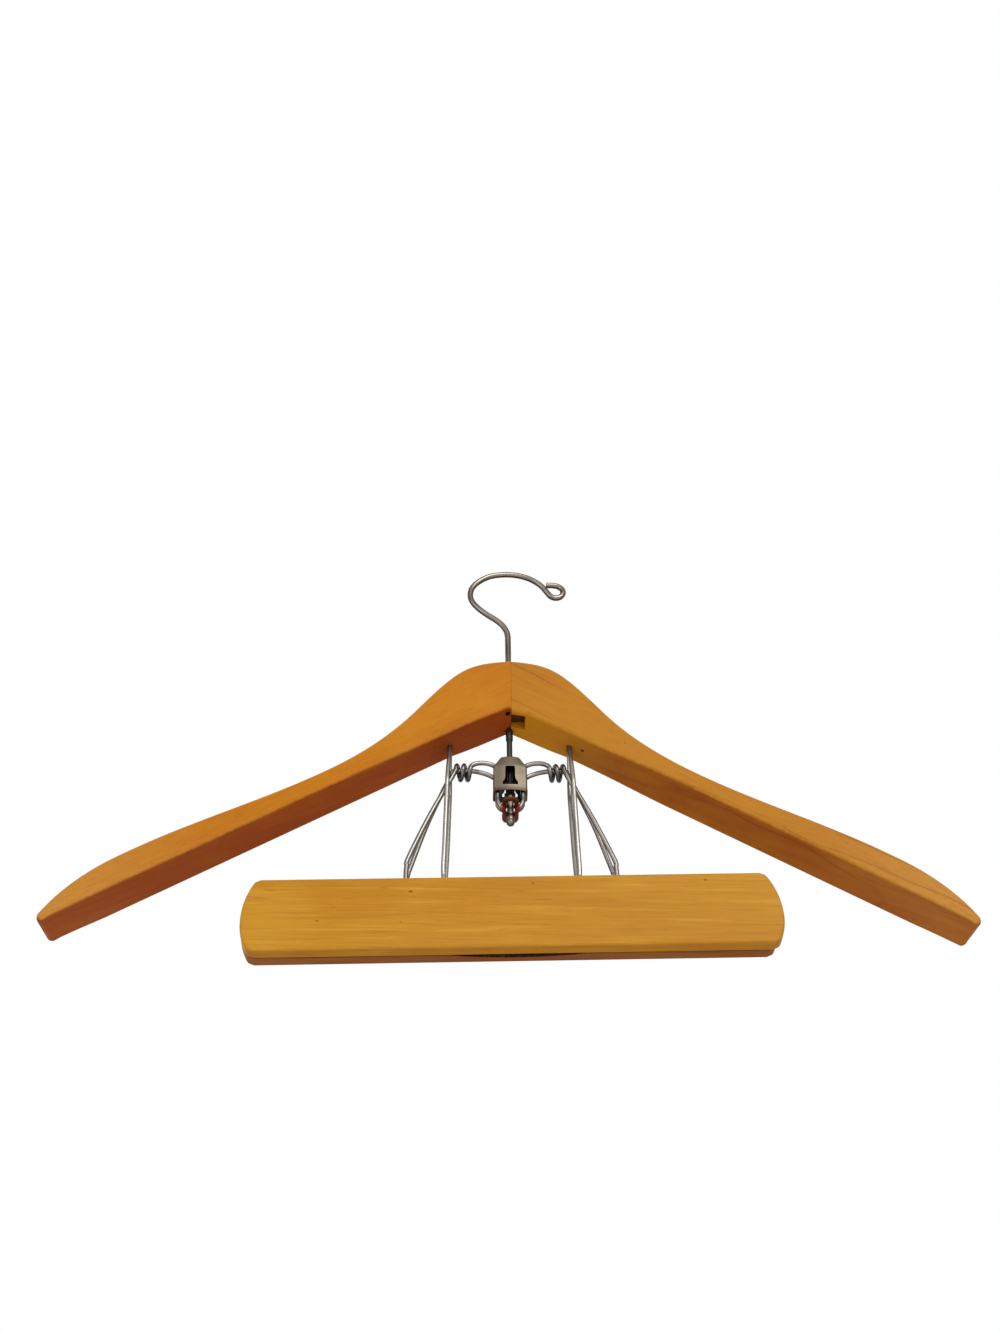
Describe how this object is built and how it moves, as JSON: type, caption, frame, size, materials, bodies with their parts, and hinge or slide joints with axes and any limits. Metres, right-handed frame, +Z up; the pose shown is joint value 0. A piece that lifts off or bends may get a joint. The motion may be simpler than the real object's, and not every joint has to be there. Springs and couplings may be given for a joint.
{
  "type": "trouser hanger",
  "caption": "Wooden coat hanger with a swivelling wire hook and, hung under it, a hinged clamp of wooden boards on coiled wires, locked by a sliding metal sleeve.",
  "frame": {"origin": "inner top of the hook's round, where the hook rests on a rail", "axes": "+Z up, the hanger hangs along -Z; +X to the right along the shoulders as seen from the front; the arms are swept back towards +Y"},
  "size_m": [0.4468, 0.0407, 0.2567],
  "materials": {
    "arm_wood": "golden brown varnish, satin",
    "board_wood": "golden brown varnish, satin",
    "hook_wire": "plated, worn",
    "clamp_wire": "plated, worn",
    "sleeve_metal": "plated, dulled",
    "dark_steel": "dark, oxidised"
  },
  "bodies": {
    "hook": {"hook_rod": "hook_wire", "rod_collar": "dark_steel", "rod_ferrule": "clamp_wire"},
    "wood_body": {"left_arm": "arm_wood", "right_arm": "arm_wood", "arm_brad_left": "dark_steel", "arm_brad_right": "dark_steel", "left_hairpin": "clamp_wire", "right_hairpin": "clamp_wire"},
    "front_jaw": {"front_board": "board_wood", "front_wire": "clamp_wire", "front_brad_left": "dark_steel", "front_brad_right": "dark_steel"},
    "rear_jaw": {"rear_board": "board_wood", "rear_wire": "clamp_wire", "rear_brad_left": "dark_steel", "rear_brad_right": "dark_steel"},
    "sleeve": {"sleeve": "sleeve_metal"}
  },
  "joints": [
    {"name": "hook_swivel", "type": "hinge", "parent": "hook", "child": "wood_body", "pos_m": [0, 0, -0.1], "axis": [0, 0, 1], "continuous": true},
    {"name": "front_jaw_hinge", "type": "hinge", "parent": "wood_body", "child": "front_jaw", "pos_m": [0, 0, -0.14282], "axis": [-1, 0, 0], "range_deg": [0, 7], "deforming": ["left_hairpin", "right_hairpin"]},
    {"name": "rear_jaw_hinge", "type": "hinge", "parent": "wood_body", "child": "rear_jaw", "pos_m": [0, 0, -0.14282], "axis": [-1, 0, 0], "range_deg": [-7, 0]},
    {"name": "sleeve_slide", "type": "slide", "parent": "wood_body", "child": "sleeve", "axis": [0, 0, 1], "range_m": [0, 0.008]}
  ],
  "couplings": [
    {"joint": "rear_jaw_hinge", "follows": "front_jaw_hinge", "ratio": -1},
    {"joint": "sleeve_slide", "follows": "front_jaw_hinge", "m_per_rad": 0.065481}
  ]
}
